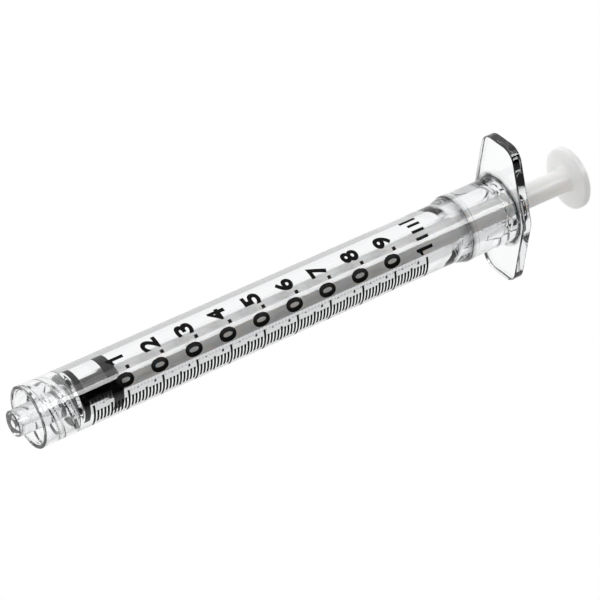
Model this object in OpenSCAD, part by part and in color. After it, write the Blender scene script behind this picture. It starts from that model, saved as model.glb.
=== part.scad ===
// Slim 1 ml syringe with a locking tip: clear one-piece barrel, round plunger
// rod and rubber stopper. It lies on one flat of its finger flange.
// +X runs along the axis from the nozzle towards the thumb disc, +Z is up and
// the middle of the scale faces up. The origin is the centre of the nozzle face.

/* [Barrel] */
// outside diameter of the barrel
barrel_od = 9.36; // [8:0.02:11]
// bore diameter, which sets the length of the scale
bore_d = 4.7; // [4.4:0.05:5]
// where the stopper's cylinder of bore starts
bore_start = 9.5; // [9:0.1:11]
// where the wall starts to widen towards the flange
taper_start = 74.3; // [70:0.1:76]
// where the raised band starts
band_start = 76.1; // [75:0.1:78]
// width of the raised band
band_w = 1.3; // [0.8:0.1:2]
// radius of the raised band
band_r = 5.3; // [5:0.01:5.6]
// radius of the wall between the band and the flange
neck_r = 5.2; // [5:0.01:5.5]
// front of the ridge that keeps the stopper in
stop_x = 83.8; // [80:0.1:85]
// radius of the hole through that ridge
stop_r = 2.22; // [2.1:0.01:2.3]

/* [Locking tip] */
// nozzle diameter at its face
tip_d = 3.95; // [3.9:0.01:4]
// taper of the nozzle, as diameter over length
tip_taper = 0.06; // [0.05:0.005:0.07]
// bore of the fluid passage
lumen_d = 1.2; // [0.8:0.05:1.5]
// where the locking collar's mouth is
collar_x = 2.45; // [2.1:0.05:3.2]
// where the collar's floor is
floor_x = 8.5; // [8:0.05:9]
// inside diameter of the collar at the thread's root
lock_root_d = 8; // [7.9:0.05:8.2]
// diameter inside the thread's crests
lock_crest_d = 7; // [6.9:0.05:7.1]
// lead of the two-start lock thread
lock_lead = 5; // [5:0.1:5.2]

/* [Finger flange] */
// full length of the flange
flange_l = 24; // [22:0.1:26]
// width across the rounded middle
flange_w = 12.4; // [11.8:0.1:13]
// width across the ends
flange_end = 8; // [7:0.1:8]
// thickness of the flange
flange_t = 1.6; // [1.2:0.1:2]
// blend between the neck and the flange
root = 0.65; // [0.3:0.05:0.7]
// front face of the flange
flange_x = 84.75; // [83:0.05:86]

/* [Scale] */
// where the zero line is
zero_x = 10.6; // [10:0.1:11]
// angular reach of the long lines on each side of the middle
long_half = 26; // [20:0.5:30]
// angular reach of the middle lines
mid_half = 17.5; // [14:0.5:20]
// angular reach of the short lines
short_half = 14; // [10:0.5:18]
// width of a line
line_w = 0.34; // [0.15:0.01:0.4]
// height of a numeral
num_h = 2.8; // [2:0.1:3]
// stroke of a numeral
num_s = 0.42; // [0.25:0.01:0.5]
// thickness of the ink
ink_t = 0.04; // [0.02:0.01:0.06]

/* [Plunger] */
// diameter of the round rod
rod_d = 3.75; // [3.5:0.05:4.2]
// diameter of the thumb disc
disc_d = 9.8; // [9:0.1:11]
// thickness of the thumb disc
disc_t = 1.1; // [0.8:0.1:1.5]
// front face of the thumb disc with the plunger home
disc_x = 97.5; // [95:0.1:100]
// radius of the stopper's two sealing ribs
rib_r = 2.32; // [2.3:0.01:2.34]
// length of the stopper behind the zero line
stopper_l = 5.9; // [5:0.1:7]

/* [Hidden] */
eps = 0.01;
ro = barrel_od / 2;
rb = bore_d / 2;
bore_end = flange_x + flange_t;
// scale length for one millilitre, from the bore's area
ml_len = 1000 / (PI * rb * rb);
step = ml_len / 100;
// flange outline: tangent from the middle arc to the corner arc
fm_r = 3;
fc_r = 2.5;
fm_y = flange_w / 2 - fm_r;
fc_x = flange_l / 2 - fc_r;
fc_y = flange_end / 2 - fc_r;
flat_a = atan2(fm_y - fc_y, fc_x)
       + asin((fm_r - fc_r) / sqrt(pow(fc_x, 2) + pow(fm_y - fc_y, 2)));
// the middle of the scale is on +Z, the numerals beside it
num_a = 32.5;
digit_a = 73.5;
num_w = 25.5;
stroke_gap = 0.04;
// the unit bars' width round the barrel and the short ones' height
bar_w = 6;
bar_h = 2.1;
dot_a = 61.5;
seg = [ // top, upper right, lower right, bottom, lower left, upper left, middle
  [1, 1, 1, 1, 1, 1, 0], [0, 1, 1, 0, 0, 0, 0], [1, 1, 0, 1, 1, 0, 1],
  [1, 1, 1, 1, 0, 0, 1], [0, 1, 1, 0, 0, 1, 1], [1, 0, 1, 1, 0, 1, 1],
  [1, 0, 1, 1, 1, 1, 1], [1, 1, 1, 0, 0, 0, 0], [1, 1, 1, 1, 1, 1, 1],
  [1, 1, 1, 1, 0, 1, 1]];
$fn = 96;

// solid of revolution about X from [radius, x] points
module turned(p) rotate([0, 90, 0]) rotate_extrude() polygon(p);

// flat outline in Y and Z, pushed along +X
module push(x, t) translate([x, 0, 0]) rotate([90, 0, 90]) linear_extrude(t) children();

// patch of ink from angle a0 to a1, measured from +Z towards +Y
module patch(a0, a1, x, w)
  rotate([0, 90, 0]) rotate([0, 0, 180 - a1])
    rotate_extrude(angle = a1 - a0) translate([ro, x]) square([ink_t, w]);

// one start of the right-hand lock thread, a swept ridge on the collar's wall
module lock_ridge(a0) {
  n = 30;
  turns = 0.94;
  x0 = collar_x + 0.95;
  re = lock_root_d / 2 + 0.12;
  rc = lock_crest_d / 2;
  pts = [for (i = [0:n]) let (a = a0 - 360 * turns * i / n,
           x = x0 + lock_lead * turns * i / n,
           k = min(1, min(i, n - i) / 4), r = re - (re - rc) * max(k, 0.3))
         for (q = [[re, -0.62], [re, 0.62], [r, 0.2], [r, -0.2]])
           [x + q[1], q[0] * sin(a), q[0] * cos(a)]];
  faces = concat([[0, 1, 2, 3]],
    [for (i = [0:n - 1], j = [0:3]) let (a = 4 * i + j, b = 4 * i + (j + 1) % 4)
       [b + 4, b, a]],
    [for (i = [0:n - 1], j = [0:3]) let (a = 4 * i + j, b = 4 * i + (j + 1) % 4)
       [a + 4, b + 4, a]],
    [[4 * n + 3, 4 * n + 2, 4 * n + 1, 4 * n]]);
  polyhedron(pts, faces);
}

module flange_outline() {
  sa = sin(flat_a);
  ca = cos(flat_a);
  m = [fm_r * sa, fm_y + fm_r * ca];
  c = [fc_x + fc_r * sa, fc_y + fc_r * ca];
  q = [m, c, [flange_l / 2, fc_y]];
  polygon([q[0], q[1], q[2], [q[2][0], -q[2][1]], [q[1][0], -q[1][1]],
           [q[0][0], -q[0][1]], [-q[0][0], -q[0][1]], [-q[1][0], -q[1][1]],
           [-q[2][0], -q[2][1]], [-q[2][0], q[2][1]], [-q[1][0], q[1][1]],
           [-q[0][0], q[0][1]]]);
  for (s = [-1, 1]) {
    translate([0, s * fm_y]) circle(fm_r, $fn = 64);
    for (t = [-1, 1]) translate([t * fc_x, s * fc_y]) circle(fc_r, $fn = 48);
  }
}

// clear barrel: locking tip, tube, neck and finger flange in one moulding
module barrel() color([0.86, 0.88, 0.9, 0.35]) {
  root_r = (tip_d + tip_taper * floor_x) / 2;
  difference() {
    union() {
      turned([[0, floor_x], [ro - 0.1, floor_x], [ro, floor_x], [ro, taper_start],
              [neck_r, band_start], [band_r, band_start + 0.15],
              [band_r, band_start + band_w - 0.15], [neck_r, band_start + band_w],
              [neck_r, flange_x - root], [neck_r + root * 0.13, flange_x - root / 2],
              [neck_r + root / 2, flange_x - root * 0.13], [neck_r + root, flange_x],
              [neck_r + root, flange_x + 0.5], [0, flange_x + 0.5]]);
      push(flange_x, flange_t) rotate(-flat_a) flange_outline();
      // collar wall with a thin rolled lip at the mouth
      turned([[lock_root_d / 2, floor_x + eps], [lock_root_d / 2, collar_x + 0.5],
              [lock_root_d / 2 + 0.3, collar_x], [ro - 0.02, collar_x],
              [ro + 0.08, collar_x + 0.12], [ro + 0.08, collar_x + 0.6],
              [ro, collar_x + 0.85], [ro, floor_x + eps]]);
      // tapered nozzle
      turned([[0, 0], [tip_d / 2 - 0.15, 0], [tip_d / 2, 0.15], [root_r, floor_x],
              [root_r, floor_x + eps], [0, floor_x + eps]]);
      for (a = [40, 220]) lock_ridge(a);
    }
    // bore with its coned front end
    turned([[0, floor_x - 0.05], [lumen_d / 2, floor_x - 0.05], [rb, bore_start],
            [rb, stop_x], [stop_r, stop_x + 0.2], [stop_r, stop_x + 0.6],
            [rb, stop_x + 0.9], [rb, bore_end - 0.7], [rb + 0.6, bore_end],
            [rb + 0.6, bore_end + 1], [0, bore_end + 1]]);
    // fluid passage
    translate([-1, 0, 0]) rotate([0, 90, 0]) cylinder(d = lumen_d, h = floor_x + 1);
  }
}

// one line at every hundredth, longer at each twentieth and longest at each tenth
module graduation_lines() color([0.05, 0.05, 0.05])
  for (i = [0:100]) {
    h = i % 10 == 0 ? long_half : i % 5 == 0 ? mid_half : short_half;
    patch(-h, h, zero_x + i * step - line_w / 2, line_w);
  }

// one upright figure built from separate plain strokes, its top towards the nozzle
module figure(d, a, x) {
  s = seg[d];
  t = num_s;
  aw = t / ro * 180 / PI;
  top = x - num_h / 2;
  len = num_h / 2 - 1.5 * t - 2 * stroke_gap;
  if (s[0]) patch(a, a + num_w, top, t);
  if (s[6]) patch(a, a + num_w, x - t / 2, t);
  if (s[3]) patch(a, a + num_w, x + num_h / 2 - t, t);
  if (s[1]) patch(a + num_w - aw, a + num_w, top + t + stroke_gap, len);
  if (s[2]) patch(a + num_w - aw, a + num_w, x + t / 2 + stroke_gap, len);
  if (s[5]) patch(a, a + aw, top + t + stroke_gap, len);
  if (s[4]) patch(a, a + aw, x + t / 2 + stroke_gap, len);
}

// numerals at each tenth, and a single figure at the full mark
module graduation_numerals() color([0.05, 0.05, 0.05]) {
  for (i = [1:9]) {
    x = zero_x + i * 10 * step;
    figure(0, num_a, x);
    patch(dot_a, dot_a + 6, x + num_h / 2 - 0.5, 0.5);
    figure(i, digit_a, x);
  }
  figure(1, 22, zero_x + 100 * step);
}

// four plain bars that stand for the unit, with no lettering
module unit_bars() color([0.05, 0.05, 0.05]) {
  foot = zero_x + 100 * step + num_h / 2;
  for (a = [59.5, 75, 90]) patch(a, a + bar_w, foot - bar_h, bar_h);
  patch(104, 104 + bar_w, foot - num_h, num_h);
}

// rubber stopper: coned front, two sealing ribs, a socket for the rod's button
module stopper() color([0.28, 0.29, 0.31]) {
  b = zero_x + stopper_l;
  turned([[0, 8.75], [0.55, 8.8], [2.08, 9.62], [rib_r, 9.75], [rib_r, 10.65],
          [2.1, 10.85], [1.98, 11.2], [1.98, b - 2.3], [2.1, b - 2.1],
          [rib_r, b - 1.95], [rib_r, b - 0.25], [2.2, b],
          [0.95, b], [0.95, 14.2], [1.5, 13.85], [1.5, 12.3], [0, 12.3]]);
}

// round rod with its button, rod end and thumb disc
module plunger_rod() color([0.93, 0.93, 0.91]) {
  b = zero_x + stopper_l + 0.05;
  r = rod_d / 2;
  turned([[0, 12.4], [1.2, 12.4], [1.42, 12.6], [1.42, 13.85], [0.88, 14.15],
          [0.88, b], [r - 0.2, b], [r, b + 0.2], [r, disc_x - 0.4],
          [r + 0.12, disc_x - 0.12], [r + 0.4, disc_x],
          [disc_d / 2 - 0.12, disc_x], [disc_d / 2, disc_x + 0.12],
          [disc_d / 2, disc_x + disc_t - 0.15], [disc_d / 2 - 0.15, disc_x + disc_t],
          [0, disc_x + disc_t]]);
}

barrel();
graduation_lines();
graduation_numerals();
unit_bars();
stopper();
plunger_rod();
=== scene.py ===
import math

import bpy
from mathutils import Matrix, Quaternion, Vector


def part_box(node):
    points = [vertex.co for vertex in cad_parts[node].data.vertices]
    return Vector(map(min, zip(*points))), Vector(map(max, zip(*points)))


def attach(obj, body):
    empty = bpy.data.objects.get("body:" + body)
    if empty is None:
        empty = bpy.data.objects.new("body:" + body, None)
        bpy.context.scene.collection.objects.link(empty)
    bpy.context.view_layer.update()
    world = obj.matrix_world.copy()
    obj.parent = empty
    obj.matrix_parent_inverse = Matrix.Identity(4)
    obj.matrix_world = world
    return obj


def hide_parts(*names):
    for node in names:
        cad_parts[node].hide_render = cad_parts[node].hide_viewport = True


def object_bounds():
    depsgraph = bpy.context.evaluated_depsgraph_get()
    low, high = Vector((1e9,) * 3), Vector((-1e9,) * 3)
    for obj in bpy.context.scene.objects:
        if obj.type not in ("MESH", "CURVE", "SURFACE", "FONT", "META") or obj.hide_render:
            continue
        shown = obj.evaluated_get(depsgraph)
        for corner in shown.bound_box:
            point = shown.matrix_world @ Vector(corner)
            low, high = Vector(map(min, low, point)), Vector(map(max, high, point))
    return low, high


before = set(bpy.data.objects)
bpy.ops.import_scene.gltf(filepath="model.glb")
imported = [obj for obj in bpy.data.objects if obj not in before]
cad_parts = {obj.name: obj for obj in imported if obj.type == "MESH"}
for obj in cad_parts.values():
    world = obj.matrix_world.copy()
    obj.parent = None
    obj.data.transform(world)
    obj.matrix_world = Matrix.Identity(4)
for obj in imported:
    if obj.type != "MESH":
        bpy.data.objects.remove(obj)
cad_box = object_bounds()
MM = 0.001
tiny = 1e-6


# Camera. A long lens looks at the middle of the syringe from the nozzle end and
# above, and is turned over so that the nozzle points down to the left.
look_at = Vector((46.8, 2.6, 2.4)) * MM
around, above, turned = math.radians(120.84), math.radians(32.01), math.radians(138.48)
away = 517 * MM
towards = Vector((math.cos(above) * math.cos(around),
                  math.cos(above) * math.sin(around), math.sin(above)))
camera_data = bpy.data.cameras.new("camera")
camera_data.lens = 215
camera_data.sensor_width = 36
camera_data.clip_start = 0.01
camera_data.clip_end = 20
camera = bpy.data.objects.new("camera", camera_data)
camera.location = look_at + towards * away
level = towards.to_track_quat("Z", "Y")
camera.rotation_euler = (level @ Quaternion((0, 0, 1), turned)).to_euler()
bpy.context.collection.objects.link(camera)
bpy.context.scene.camera = camera


# Barrel. One thick-walled moulding in clear polycarbonate: nozzle, locking collar
# with its two-start thread, tube, neck, finger flange and the ridge that keeps the
# stopper in. Every edge has the small round that a polished mould leaves.
barrel_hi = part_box("barrel")[1]
tube_r, bore_r, passage_r = 4.68 * MM, 2.35 * MM, 0.6 * MM
nozzle_r, nozzle_taper = 1.975 * MM, 0.03
mouth_x, floor_x, bore_x = 2.45 * MM, 8.5 * MM, 9.5 * MM
thread_root, thread_crest, thread_lead = 4.0 * MM, 3.5 * MM, 5.0 * MM
taper_x, band_x, band_w = 74.3 * MM, 76.1 * MM, 1.3 * MM
neck_r, band_r = 5.2 * MM, 5.29 * MM
lip_r, collar_mouth_r = tube_r + 0.08 * MM, thread_root + 0.3 * MM
flange_x, back_x = 84.75 * MM, barrel_hi[0]
ridge_x, ridge_r = 83.8 * MM, 2.22 * MM
ring_r, rim_r = neck_r + 1.0 * MM, 7.5 * MM
guard, arc_step = 0.04 * MM, math.radians(16)


def rounded(corners):
    """Points of a closed outline: each corner (x, r, radius) as an arc, with a
    guard point on each side of it that keeps the flats shaded flat."""
    points = []
    count = len(corners)
    for i, (x, r, radius) in enumerate(corners):
        here = Vector((x, r))
        before = Vector(corners[i - 1][:2]) - here
        after = Vector(corners[(i + 1) % count][:2]) - here
        if radius == 0:
            points.append(here)
            continue
        half = before.angle(after) / 2
        reach = min(radius / math.tan(half), 0.46 * before.length, 0.46 * after.length)
        start, end = before.normalized(), after.normalized()
        middle = (start + end).normalized() * reach / math.cos(half)
        if before.length > 2 * reach + 3 * guard:
            points.append(here + start * (reach + guard))
        sweep = math.pi - 2 * half
        steps = max(2, round(sweep / arc_step))
        arm = start * reach - middle
        turn = 1 if start.cross(end) < 0 else -1
        for k in range(steps + 1):
            a = turn * sweep * k / steps
            c, s = math.cos(a), math.sin(a)
            points.append(here + middle + Vector((arm.x * c - arm.y * s, arm.x * s + arm.y * c)))
        if after.length > 2 * reach + 3 * guard:
            points.append(here + end * (reach + guard))
    return points


def spun(name, points, steps):
    """A solid of revolution about X, from a closed outline of (x, r) points."""
    bpy.ops.object.select_all(action="DESELECT")
    bpy.ops.mesh.primitive_plane_add(size=MM, location=(0, 0, 0))
    piece = bpy.context.object
    piece.name = piece.data.name = name
    bpy.ops.object.mode_set(mode="EDIT")
    bpy.ops.mesh.select_all(action="SELECT")
    bpy.ops.mesh.merge(type="CENTER")
    bpy.ops.transform.translate(value=(points[0].x, 0, points[0].y))
    for here, there in zip(points, points[1:]):
        step = there - here
        bpy.ops.mesh.extrude_region_move(TRANSFORM_OT_translate={"value": (step.x, 0, step.y)})
    bpy.ops.object.mode_set(mode="OBJECT")
    piece.data.edges.add(1)
    piece.data.edges[-1].vertices = (len(points) - 1, 0)
    bpy.ops.object.mode_set(mode="EDIT")
    bpy.ops.mesh.select_all(action="SELECT")
    bpy.ops.mesh.spin(steps=steps, angle=2 * math.pi, center=(0, 0, 0), axis=(1, 0, 0))
    bpy.ops.mesh.select_all(action="SELECT")
    bpy.ops.mesh.remove_doubles(threshold=tiny)
    bpy.ops.mesh.normals_make_consistent(inside=False)
    bpy.ops.object.mode_set(mode="OBJECT")
    return piece


def polished(piece):
    """Shades the piece smooth, except where it has a sharp edge."""
    bpy.ops.object.select_all(action="DESELECT")
    piece.select_set(True)
    bpy.context.view_layer.objects.active = piece
    bpy.ops.object.shade_smooth_by_angle(angle=math.radians(35))


root_r = nozzle_r + nozzle_taper * floor_x
wall_rings = 56
wall_top, wall_end = mouth_x + 0.42 * MM, floor_x - 0.3 * MM
collar_wall = [(wall_end + (wall_top - wall_end) * k / wall_rings, thread_root, 0)
               for k in range(wall_rings + 1)]
barrel_outline = rounded([
    (0, passage_r, 0.08 * MM), (0, nozzle_r, 0.18 * MM), (floor_x, root_r, 0.3 * MM),
    (floor_x, thread_root, 0.25 * MM), *collar_wall,
    (mouth_x, collar_mouth_r, 0.08 * MM), (mouth_x, lip_r, 0.14 * MM),
    (mouth_x + 0.6 * MM, lip_r, 0.15 * MM), (mouth_x + 0.85 * MM, tube_r, 0.2 * MM),
    (taper_x, tube_r, 1.5 * MM), (band_x, neck_r, 0.25 * MM),
    (band_x + 0.15 * MM, band_r, 0.08 * MM), (band_x + band_w - 0.15 * MM, band_r, 0.08 * MM),
    (band_x + band_w, neck_r, 0.1 * MM),
    (flange_x, neck_r, 0.6 * MM), (flange_x, ring_r, 0), (flange_x, rim_r, 0.2 * MM),
    (back_x, rim_r, 0.2 * MM), (back_x, bore_r + 0.6 * MM, 0.12 * MM),
    (back_x - 0.7 * MM, bore_r, 0.15 * MM), (ridge_x + 0.9 * MM, bore_r, 0.1 * MM),
    (ridge_x + 0.6 * MM, ridge_r, 0.1 * MM), (ridge_x + 0.2 * MM, ridge_r, 0.1 * MM),
    (ridge_x, bore_r, 0.08 * MM), (bore_x, bore_r, 0.2 * MM),
    (floor_x - 0.05 * MM, passage_r, 0.3 * MM)])
barrel = spun("clear_barrel", barrel_outline, 256)

# The thread is two ridges on the collar's wall, each almost one turn long. The wall's
# rings are pulled in along a helix, and the ridges fade out at both ends.
ridge_turns, ridge_start = 0.94, mouth_x + 0.95 * MM
ridge_foot, ridge_flank, ridge_fade = 0.56 * MM, 0.36 * MM, 8
ridge_ways = (math.radians(40), math.radians(220))
for v in barrel.data.vertices:
    x, y, z = v.co
    r = math.hypot(y, z)
    if abs(r - thread_root) > 0.01 * MM or not wall_top - tiny < x < wall_end + tiny:
        continue
    angle = -math.atan2(y, z)
    height = 0
    for start in ridge_ways:
        for lap in (-1, 0, 1, 2):
            along = (angle - start) / (2 * math.pi) + lap
            off = abs(x - ridge_start - thread_lead * along)
            fade = min(1, max(0, along * ridge_fade), max(0, (ridge_turns - along) * ridge_fade))
            flank = min(1, max(0, (ridge_foot - off) / ridge_flank))
            height = max(height, fade * flank * flank * (3 - 2 * flank))
    pull = 1 - height * (thread_root - thread_crest) / r
    v.co.y, v.co.z = y * pull, z * pull

# Tight corners and the flange's rim gather light from all over the room and look
# dark, so each point near one is marked, and the material paints it near black there:
# painted shade. Each corner here is its x, its radius, how many millimetres the mark
# reaches, and its amount. The neck's own straight wall is never marked.
painted_shade_corners = [
    (0, passage_r, 0.07, 0.9), (0, nozzle_r, 0.17, 1.0), (mouth_x, collar_mouth_r, 0.1, 0.5),
    (mouth_x, lip_r, 0.13, 0.4), (floor_x, thread_root, 0.24, 0.5), (band_x, neck_r, 0.24, 1.0),
    (band_x + band_w, neck_r, 0.12, 1.0), (flange_x, neck_r, 0.58, 1.0),
    (flange_x, neck_r + 0.64 * MM, 0.1, 1.0), (flange_x, rim_r, 0.21, 1.0),
    (back_x, rim_r, 0.21, 1.0)]
painted_shade_marks = []
for v in barrel.data.vertices:
    x, r = v.co.x, math.hypot(v.co.y, v.co.z)
    near = [amount for corner_x, corner_r, reach, amount in painted_shade_corners
            if math.hypot(x - corner_x, r - corner_r) < reach * MM]
    painted_shade_marks.append(0 if abs(r - neck_r) < 0.005 * MM else max(near, default=0))
# Painted shade: how far towards near black the clear colour is painted at each point.
painted_shade_mark = barrel.data.attributes.new("painted_shade_mark", "FLOAT", "POINT")
painted_shade_mark.data.foreach_set("value", painted_shade_marks)

# The flange starts as a round disc. Its rim is moved out to the real outline: a long
# shape with a rounded middle and square-cut ends with rounded corners.
flange_l, flange_w, flange_end = 24 * MM, 12.4 * MM, 8 * MM
middle_arc, corner_arc = 3.0 * MM, 2.5 * MM
middle_y, end_y = flange_w / 2 - middle_arc, flange_end / 2 - corner_arc
end_x = flange_l / 2 - corner_arc
arcs = [(0, s * middle_y, middle_arc) for s in (-1, 1)]
arcs += [(s * end_x, t * end_y, corner_arc) for s in (-1, 1) for t in (-1, 1)]
slope = math.hypot(end_x, middle_y - end_y)
lean = math.atan2(middle_y - end_y, end_x) + math.asin((middle_arc - corner_arc) / slope)
ways = [math.radians(k) for k in range(360)]
ways += [s * math.pi / 2 + t * lean for s in (-1, 1) for t in (-1, 1)]
side_on = 0.05


def outline_radius(angle):
    """How far the flange reaches at this angle from its long axis."""
    reach = 1.0
    for w in ways:
        facing = math.cos(w - angle)
        if facing > side_on:
            hull = max(y * math.cos(w) + z * math.sin(w) + r for y, z, r in arcs)
            reach = min(reach, hull / facing)
    return reach


# The blend in front of the flange, out to blend_r, keeps its place. The first ring
# outside it only moves in, to stay clear of the rim on the narrow sides.
known = {}
blend_r, ring_gap = neck_r + 0.68 * MM, 0.262 * MM
for v in barrel.data.vertices:
    x, y, z = v.co
    r = math.hypot(y, z)
    if x < flange_x - tiny or r < blend_r:
        continue
    angle = math.atan2(z, y) + lean
    bearing = round(angle, 4)
    if bearing not in known:
        known[bearing] = outline_radius(angle)
    grown = (known[bearing] - (rim_r - r)) / r
    if r < ring_r + 0.05 * MM:
        grown = min(1, (known[bearing] - ring_gap) / r)
    v.co.y, v.co.z = y * grown, z * grown
polished(barrel)

# Fine mottling that every moulded surface here has, as a group: a slow drift that
# follows the flow of the melt and a fine grain from the mould.
mottle = bpy.data.node_groups.new("mould_mottle", "ShaderNodeTree")
for socket, value in (("Drift Scale", 120.0), ("Grain Scale", 2600.0), ("Low", 0.3), ("High", 0.4)):
    made = mottle.interface.new_socket(socket, in_out="INPUT", socket_type="NodeSocketFloat")
    made.default_value = value
for socket in ("Value", "Height", "Mask"):
    mottle.interface.new_socket(socket, in_out="OUTPUT", socket_type="NodeSocketFloat")
g_in = mottle.nodes.new("NodeGroupInput")
g_out = mottle.nodes.new("NodeGroupOutput")
place = mottle.nodes.new("ShaderNodeTexCoord")
stretch = mottle.nodes.new("ShaderNodeMapping")
stretch.inputs["Scale"].default_value = (0.25, 1, 1)
drift = mottle.nodes.new("ShaderNodeTexNoise")
drift.inputs["Detail"].default_value = 3
grain = mottle.nodes.new("ShaderNodeTexNoise")
grain.inputs["Detail"].default_value = 2
spread = mottle.nodes.new("ShaderNodeMapRange")
spread.inputs["From Min"].default_value = 0.3
spread.inputs["From Max"].default_value = 0.7
link = mottle.links.new
link(place.outputs["Object"], stretch.inputs["Vector"])
link(stretch.outputs["Vector"], drift.inputs["Vector"])
link(place.outputs["Object"], grain.inputs["Vector"])
link(g_in.outputs["Drift Scale"], drift.inputs["Scale"])
link(g_in.outputs["Grain Scale"], grain.inputs["Scale"])
link(drift.outputs["Fac"], spread.inputs["Value"])
link(g_in.outputs["Low"], spread.inputs["To Min"])
link(g_in.outputs["High"], spread.inputs["To Max"])
link(spread.outputs["Result"], g_out.inputs["Value"])
link(grain.outputs["Fac"], g_out.inputs["Height"])
link(drift.outputs["Fac"], g_out.inputs["Mask"])


def finish(name, low, high, drift_scale, grain_scale, bump, depth):
    """A material with the mottle group on roughness and bump, and its shader."""
    material = bpy.data.materials.new(name)
    material.use_nodes = True
    tree = material.node_tree
    shader = tree.nodes["Principled BSDF"]
    group = tree.nodes.new("ShaderNodeGroup")
    group.node_tree = mottle
    for socket, value in (("Low", low), ("High", high), ("Drift Scale", drift_scale),
                          ("Grain Scale", grain_scale)):
        group.inputs[socket].default_value = value
    relief = tree.nodes.new("ShaderNodeBump")
    relief.inputs["Strength"].default_value = bump
    relief.inputs["Distance"].default_value = depth
    tree.links.new(group.outputs["Value"], shader.inputs["Roughness"])
    tree.links.new(group.outputs["Height"], relief.inputs["Height"])
    tree.links.new(relief.outputs["Normal"], shader.inputs["Normal"])
    return material, shader


def made_of(piece, material):
    """Gives the piece this one material."""
    piece.data.materials.clear()
    piece.data.materials.append(material)


# Clear polycarbonate, with painted shade: its colour is mixed towards near black in patches where
# the points are marked.
clear, shader = finish("clear_polycarbonate", 0.0, 0.012, 420, 900, 0.01, 0.01 * MM)
tree = clear.node_tree
painted_shade_patches = tree.nodes.new("ShaderNodeMapRange")
for socket, value in (("From Min", 0.38), ("From Max", 0.56), ("To Min", 0.6), ("To Max", 1)):
    painted_shade_patches.inputs[socket].default_value = value
mark = tree.nodes.new("ShaderNodeAttribute")
mark.attribute_name = "painted_shade_mark"
painted_shade_amount = tree.nodes.new("ShaderNodeMath")
painted_shade_amount.operation = "MULTIPLY"
# Painted shade: the clear tint A is mixed towards the near black B by the marked amount, in drifting
# patches.
tint_with_painted_shade = tree.nodes.new("ShaderNodeMix")
tint_with_painted_shade.data_type = "RGBA"
tint_with_painted_shade.inputs["A"].default_value = (0.985, 0.99, 0.995, 1)
tint_with_painted_shade.inputs["B"].default_value = (0.004, 0.006, 0.009, 1)
thick = tree.nodes.new("ShaderNodeVolumeAbsorption")
thick.inputs["Color"].default_value = (0, 0.05, 0.1, 1)
thick.inputs["Density"].default_value = 9
tree.links.new(tree.nodes["Group"].outputs["Mask"], painted_shade_patches.inputs["Value"])
tree.links.new(painted_shade_patches.outputs["Result"], painted_shade_amount.inputs[0])
tree.links.new(mark.outputs["Fac"], painted_shade_amount.inputs[1])
tree.links.new(painted_shade_amount.outputs["Value"], tint_with_painted_shade.inputs["Factor"])
tree.links.new(tint_with_painted_shade.outputs["Result"], shader.inputs["Base Color"])
tree.links.new(thick.outputs["Volume"], tree.nodes["Material Output"].inputs["Volume"])
shader.inputs["Transmission Weight"].default_value = 1
shader.inputs["IOR"].default_value = 1.585
made_of(barrel, clear)
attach(barrel, "barrel")
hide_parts("barrel")


# Scale lines. Black ink printed on the barrel, one line for each hundredth of a
# millilitre: longest at each tenth, middling at each twentieth. The ink bites a
# little into the surface and stands a hair proud of it.
lines_lo, lines_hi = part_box("graduation_lines")
line_w, last_mark = 0.34 * MM, 100
zero_x = lines_lo[0] + line_w / 2
mark_step = (lines_hi[0] - lines_lo[0] - line_w) / last_mark
ink_under, ink_over = tube_r - 0.012 * MM, tube_r + 0.015 * MM


def join(pieces, name):
    """The pieces as one object with this name."""
    bpy.ops.object.select_all(action="DESELECT")
    for p in pieces:
        p.select_set(True)
    bpy.context.view_layer.objects.active = pieces[0]
    bpy.ops.object.join()
    whole = bpy.context.object
    whole.name = whole.data.name = name
    return whole


def stripe(reach):
    """One line, spun from a small rectangle between -reach and +reach about the top."""
    bpy.ops.object.select_all(action="DESELECT")
    middle = (ink_under + ink_over) / 2
    start = Quaternion((1, 0, 0), reach) @ Vector((0, 0, middle))
    bpy.ops.mesh.primitive_plane_add(size=1, location=start, rotation=(math.pi / 2 + reach, 0, 0))
    piece = bpy.context.object
    piece.scale = (line_w, ink_over - ink_under, 1)
    bpy.ops.object.transform_apply(location=True, rotation=True, scale=True)
    bpy.ops.object.mode_set(mode="EDIT")
    bpy.ops.mesh.select_all(action="SELECT")
    bpy.ops.mesh.spin(steps=max(4, round(math.degrees(reach) / 2)), angle=2 * reach,
                      center=(0, 0, 0), axis=(1, 0, 0))
    bpy.ops.mesh.select_all(action="SELECT")
    bpy.ops.mesh.remove_doubles(threshold=tiny / 10)
    bpy.ops.mesh.normals_make_consistent(inside=False)
    bpy.ops.object.mode_set(mode="OBJECT")
    return piece


reaches = {"long": 26, "middle": 17.5, "short": 14}
patterns = {kind: stripe(math.radians(reach)) for kind, reach in reaches.items()}
lines = []
for i in range(last_mark + 1):
    kind = "long" if i % 10 == 0 else "middle" if i % 5 == 0 else "short"
    copy = patterns[kind].copy()
    copy.data = patterns[kind].data.copy()
    for v in copy.data.vertices:
        v.co.x += zero_x + i * mark_step
    bpy.context.collection.objects.link(copy)
    lines.append(copy)
for p in patterns.values():
    bpy.data.objects.remove(p)
scale_lines = join(lines, "scale_lines")

ink, shader = finish("printing_ink", 0.35, 0.5, 300, 4000, 0.15, 0.004 * MM)
shader.inputs["Base Color"].default_value = (0.003, 0.0025, 0.0022, 1)
shader.inputs["Specular IOR Level"].default_value = 0.08
made_of(scale_lines, ink)
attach(scale_lines, "barrel")
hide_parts("graduation_lines")


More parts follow.
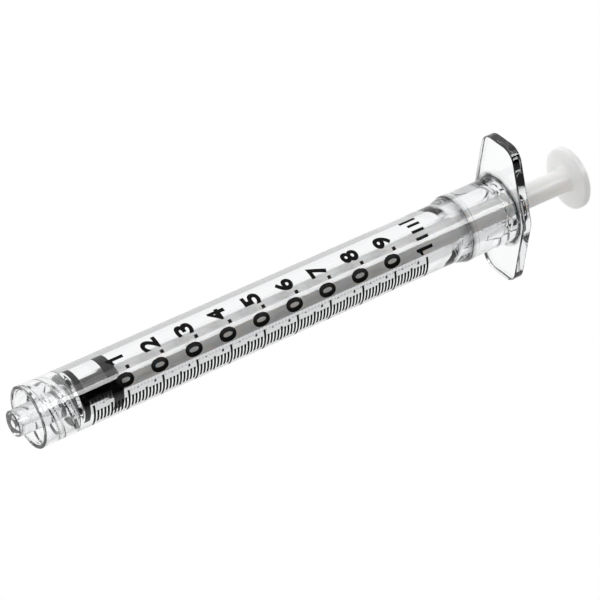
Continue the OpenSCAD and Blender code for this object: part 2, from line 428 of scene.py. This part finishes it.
# Scale numerals. Bold plain figures beside each long line, read with the nozzle up,
# and a single one at the full mark. They are flat type, and a drawn outline for each
# one, cut into narrow strips and laid round the barrel.
num_h, num_w, one_w, point_w, bold = 2.8 * MM, 2.08 * MM, 1.14 * MM, 0.56 * MM, 0.04
nought_at, point_at, digit_at, one_at, full_at = 45.25, 65, 86.25, 84, 39


def figure(digit):
    """A flat bold figure from plain type."""
    bpy.ops.object.select_all(action="DESELECT")
    bpy.ops.object.text_add(location=(0, 0, 0))
    piece = bpy.context.object
    piece.data.body = digit
    piece.data.offset = bold
    piece.data.resolution_u = 5
    return piece


def figure_one():
    """A flat figure one, in millimetres: a square-cut stem and a short sloping flag."""
    outline = bpy.data.curves.new("one", "CURVE")
    outline.dimensions = "2D"
    outline.fill_mode = "BOTH"
    corners = ((0.62, 0), (1.14, 0), (1.14, 2.8), (0.74, 2.8), (0.5, 2.38), (0, 2.18),
               (0, 1.78), (0.62, 1.9))
    spline = outline.splines.new("POLY")
    spline.points.add(len(corners) - 1)
    for point, (u, v) in zip(spline.points, corners):
        point.co = (u, v, 0, 1)
    spline.use_cyclic_u = True
    piece = bpy.data.objects.new("one", outline)
    bpy.context.collection.objects.link(piece)
    bpy.ops.object.select_all(action="DESELECT")
    piece.select_set(True)
    bpy.context.view_layer.objects.active = piece
    return piece


def wrapped(piece, width, at, x):
    """The figure laid round the barrel about this angle from the top, its head to -X."""
    piece.data.extrude = 0.01
    bpy.ops.object.convert(target="MESH")
    piece = bpy.context.object
    mesh = piece.data
    us = [v.co.x for v in mesh.vertices]
    vs = [v.co.y for v in mesh.vertices]
    u0, u1, v0, v1 = min(us), max(us), min(vs), max(vs)
    span = width / tube_r
    bpy.ops.object.mode_set(mode="EDIT")
    strips = max(2, round(math.degrees(span) / 3))
    for k in range(1, strips):
        bpy.ops.mesh.select_all(action="SELECT")
        bpy.ops.mesh.bisect(plane_co=(u0 + (u1 - u0) * k / strips, 0, 0), plane_no=(1, 0, 0))
    bpy.ops.object.mode_set(mode="OBJECT")
    for v in mesh.vertices:
        angle = math.radians(at) + span * ((v.co.x - u0) / (u1 - u0) - 0.5)
        r = ink_over if v.co.z > 0 else ink_under
        along = x + num_h * (0.5 - (v.co.y - v0) / (v1 - v0))
        v.co = (along, r * math.sin(angle), r * math.cos(angle))
    bpy.ops.object.mode_set(mode="EDIT")
    bpy.ops.mesh.select_all(action="SELECT")
    bpy.ops.mesh.remove_doubles(threshold=tiny / 10)
    bpy.ops.mesh.normals_make_consistent(inside=False)
    bpy.ops.object.mode_set(mode="OBJECT")
    return piece


def patch(at, wide, tall, foot):
    """A plain printed patch: its middle angle, its width, its height and its foot's x."""
    piece = stripe(wide / 2 / tube_r)
    for v in piece.data.vertices:
        r, a = math.hypot(v.co.y, v.co.z), math.atan2(v.co.y, v.co.z) + math.radians(at)
        v.co = (foot - tall / 2 + v.co.x * tall / line_w, r * math.sin(a), r * math.cos(a))
    return piece


figures = []
for i in range(1, 10):
    x = zero_x + 10 * i * mark_step
    figures += [wrapped(figure("0"), num_w, nought_at, x),
                patch(point_at, point_w, point_w, x + num_h / 2)]
    if i == 1:
        figures.append(wrapped(figure_one(), one_w, one_at, x))
    else:
        figures.append(wrapped(figure(str(i)), num_w, digit_at, x))
full_x = zero_x + last_mark * mark_step
figures.append(wrapped(figure_one(), one_w, full_at, full_x))
numerals = join(figures, "scale_numerals")
made_of(numerals, ink)
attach(numerals, "barrel")
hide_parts("graduation_numerals")


# Unit bars. Three short bars and a long one, which stand for the printed unit.
bar_w, short_bar = 0.49 * MM, 2.1 * MM
bars = [patch(at, bar_w, tall, full_x + num_h / 2)
        for at, tall in ((62.5, short_bar), (78, short_bar), (93, short_bar), (107, num_h))]
unit = join(bars, "unit_marks")
made_of(unit, ink)
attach(unit, "barrel")
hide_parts("unit_bars")


# Stopper. Charcoal rubber, moulded, with a coned front and two ribs that are pressed
# against the bore, so they touch the clear wall all round.
stop_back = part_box("stopper")[1][0]
axis_r = 0.0001 * MM
rib_r, rib_side_r, waist_r = bore_r + 0.02 * MM, 2.1 * MM, 1.98 * MM
socket_x, socket_r, socket_mouth_r = 12.3 * MM, 1.5 * MM, 0.95 * MM
stopper = spun("rubber_stopper", rounded([
    (8.75 * MM, axis_r, 0), (8.8 * MM, 0.55 * MM, 0.1 * MM), (9.6 * MM, 2.12 * MM, 0.15 * MM),
    (9.72 * MM, rib_r, 0.12 * MM), (10.68 * MM, rib_r, 0.15 * MM),
    (10.9 * MM, rib_side_r, 0.15 * MM), (11.2 * MM, waist_r, 0.2 * MM),
    (stop_back - 2.3 * MM, waist_r, 0.2 * MM), (stop_back - 2.1 * MM, rib_side_r, 0.15 * MM),
    (stop_back - 1.95 * MM, rib_r, 0.12 * MM), (stop_back - 0.25 * MM, rib_r, 0.2 * MM),
    (stop_back, 2.15 * MM, 0.1 * MM), (stop_back, socket_mouth_r, 0.05 * MM),
    (14.2 * MM, socket_mouth_r, 0), (13.85 * MM, socket_r, 0), (socket_x, socket_r, 0),
    (socket_x, axis_r, 0)]), 96)
polished(stopper)
rubber, shader = finish("charcoal_rubber", 0.28, 0.5, 500, 3000, 0.25, 0.01 * MM)
shader.inputs["Base Color"].default_value = (0.006, 0.006, 0.007, 1)
shader.inputs["Specular IOR Level"].default_value = 0.05
made_of(stopper, rubber)
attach(stopper, "stopper")
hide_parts("stopper")


# Plunger rod. One off-white moulding: a button held in the stopper, a round rod and
# the thumb disc, which meets the rod in a small round.
rod_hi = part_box("plunger_rod")[1]
rod_r, disc_r = 1.875 * MM, rod_hi[1]
disc_back = rod_hi[0]
disc_x = disc_back - 1.1 * MM
rod_x = stop_back + 0.05 * MM
button_x, button_r, stem_r = 12.4 * MM, 1.42 * MM, 0.88 * MM
dimple_x = disc_back - 0.12 * MM
rod = spun("round_plunger_rod", rounded([
    (button_x, axis_r, 0), (button_x, button_r, 0.2 * MM), (13.9 * MM, button_r, 0.1 * MM),
    (14.15 * MM, stem_r, 0), (rod_x, stem_r, 0), (rod_x, rod_r, 0.2 * MM),
    (disc_x, rod_r, 0.4 * MM), (disc_x, disc_r, 0.25 * MM), (disc_back, disc_r, 0.25 * MM),
    (disc_back, 0.7 * MM, 0.05 * MM), (dimple_x, 0.55 * MM, 0.05 * MM), (dimple_x, axis_r, 0)]), 128)
polished(rod)
white, shader = finish("offwhite_plastic", 0.3, 0.42, 200, 2200, 0.12, 0.01 * MM)
shader.inputs["Base Color"].default_value = (0.91, 0.905, 0.89, 1)
shader.inputs["Subsurface Weight"].default_value = 1
shader.inputs["Subsurface Radius"].default_value = (1.0, 0.9, 0.8)
shader.inputs["Subsurface Scale"].default_value = 3 * MM
made_of(rod, white)
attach(rod, "plunger")
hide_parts("plunger_rod")


# Floor and light. A plain white table that glows evenly to the eye, and that dims a
# little away from the syringe to all other rays, in a grey room with one long bright
# softbox and one low pale wall on the front side, and a soft fill from the nozzle's side.
def two_faced(tree, kind, seen, strength):
    """Shows a plain white to the eye, and this strength to all other rays."""
    ray = tree.nodes.new("ShaderNodeLightPath")
    plain, other = tree.nodes.new(kind), tree.nodes.new(kind)
    plain.inputs["Color"].default_value = (1, 1, 1, 1)
    plain.inputs["Strength"].default_value = seen
    other.inputs["Color"].default_value = (1, 1, 1, 1)
    tree.links.new(strength, other.inputs["Strength"])
    blend = tree.nodes.new("ShaderNodeMixShader")
    tree.links.new(ray.outputs["Is Camera Ray"], blend.inputs[0])
    tree.links.new(other.outputs[0], blend.inputs[1])
    tree.links.new(plain.outputs[0], blend.inputs[2])
    return blend.outputs[0]


bpy.ops.object.select_all(action="DESELECT")
bpy.ops.mesh.primitive_plane_add(size=6, location=(0, 0, cad_box[0][2] - 0.01 * MM))
table = bpy.context.object
table.name = "table"
paper = bpy.data.materials.new("glowing_table")
paper.use_nodes = True
tree = paper.node_tree
tree.nodes.remove(tree.nodes["Principled BSDF"])
spot = tree.nodes.new("ShaderNodeNewGeometry")
out_from = tree.nodes.new("ShaderNodeVectorMath")
out_from.operation = "DISTANCE"
out_from.inputs[1].default_value = (0.05, 0, cad_box[0][2])
fade = tree.nodes.new("ShaderNodeMapRange")
fade.interpolation_type = "SMOOTHSTEP"
for socket, value in (("From Min", 0.035), ("From Max", 0.11), ("To Min", 1.0), ("To Max", 0.8)):
    fade.inputs[socket].default_value = value
tree.links.new(spot.outputs["Position"], out_from.inputs[0])
tree.links.new(out_from.outputs["Value"], fade.inputs["Value"])
tree.links.new(two_faced(tree, "ShaderNodeEmission", 1.0, fade.outputs["Result"]),
               tree.nodes["Material Output"].inputs["Surface"])
table.data.materials.append(paper)

# The room, by angle above the table as seen along the syringe: grey all round, and
# black high up on the front side, where the clear wall mirrors it. The curve runs from
# -180 to 180 degrees.
world = bpy.data.worlds.new("room")
world.use_nodes = True
tree = world.node_tree
tree.nodes.remove(tree.nodes["Background"])
way = tree.nodes.new("ShaderNodeTexCoord")
parts = tree.nodes.new("ShaderNodeSeparateXYZ")
height = tree.nodes.new("ShaderNodeMath")
height.operation = "ARCTAN2"
degrees = tree.nodes.new("ShaderNodeMapRange")
degrees.inputs["From Min"].default_value = -math.pi
degrees.inputs["From Max"].default_value = math.pi
ramp = tree.nodes.new("ShaderNodeFloatCurve")
shades = ramp.mapping.curves[0]
grey, dim = 0.7, 0.55
for at, level in ((-60, grey), (0, dim), (36, dim), (38, 0.0), (80, 0.0), (105, grey)):
    shades.points.new((at + 180) / 360, level)
for end in (shades.points[0], shades.points[-1]):
    end.location.y = grey
for point in shades.points:
    point.handle_type = "VECTOR"
ramp.mapping.update()
tree.links.new(way.outputs["Generated"], parts.inputs["Vector"])
tree.links.new(parts.outputs["Z"], height.inputs[0])
tree.links.new(parts.outputs["Y"], height.inputs[1])
tree.links.new(height.outputs["Value"], degrees.inputs["Value"])
tree.links.new(degrees.outputs["Result"], ramp.inputs["Value"])
tree.links.new(two_faced(tree, "ShaderNodeBackground", 0.95, ramp.outputs["Value"]),
               tree.nodes["World Output"].inputs["Surface"])
bpy.context.scene.world = world


def softbox(name, height, length, width, brightness, x, away=0.5):
    """A long light that lies along the syringe, this many degrees above the table."""
    light = bpy.data.lights.new(name, "AREA")
    light.shape = "RECTANGLE"
    light.size, light.size_y = length, width
    light.energy = brightness * math.pi * length * width
    lamp = bpy.data.objects.new(name, light)
    facing = Vector((0, math.cos(math.radians(height)), math.sin(math.radians(height))))
    lamp.location = facing * away + Vector((x, 0, 0))
    along = Vector((1, 0, 0))
    lamp.rotation_euler = Matrix((along, facing.cross(along), facing)).transposed().to_euler()
    bpy.context.collection.objects.link(lamp)
    return lamp


# The softbox shows only as a reflection, the bright band on the clear wall, and the fill
# only lights matt surfaces. The low wall does both, and is seen through the clear wall.
key = softbox("long_softbox", 30, 0.7, 0.14, 8, 0.2)
key.visible_transmission = key.visible_diffuse = False
softbox("low_wall", -1, 0.6, 0.38, 1.4, 0.15)
fill = softbox("nozzle_side_fill", 40, 0.5, 0.5, 1.4, -0.6, 0.6)
fill.visible_glossy = fill.visible_transmission = False

scene = bpy.context.scene
scene.view_settings.view_transform = "Standard"
scene.cycles.max_bounces = 24
scene.cycles.transmission_bounces = 24
scene.cycles.transparent_max_bounces = 16
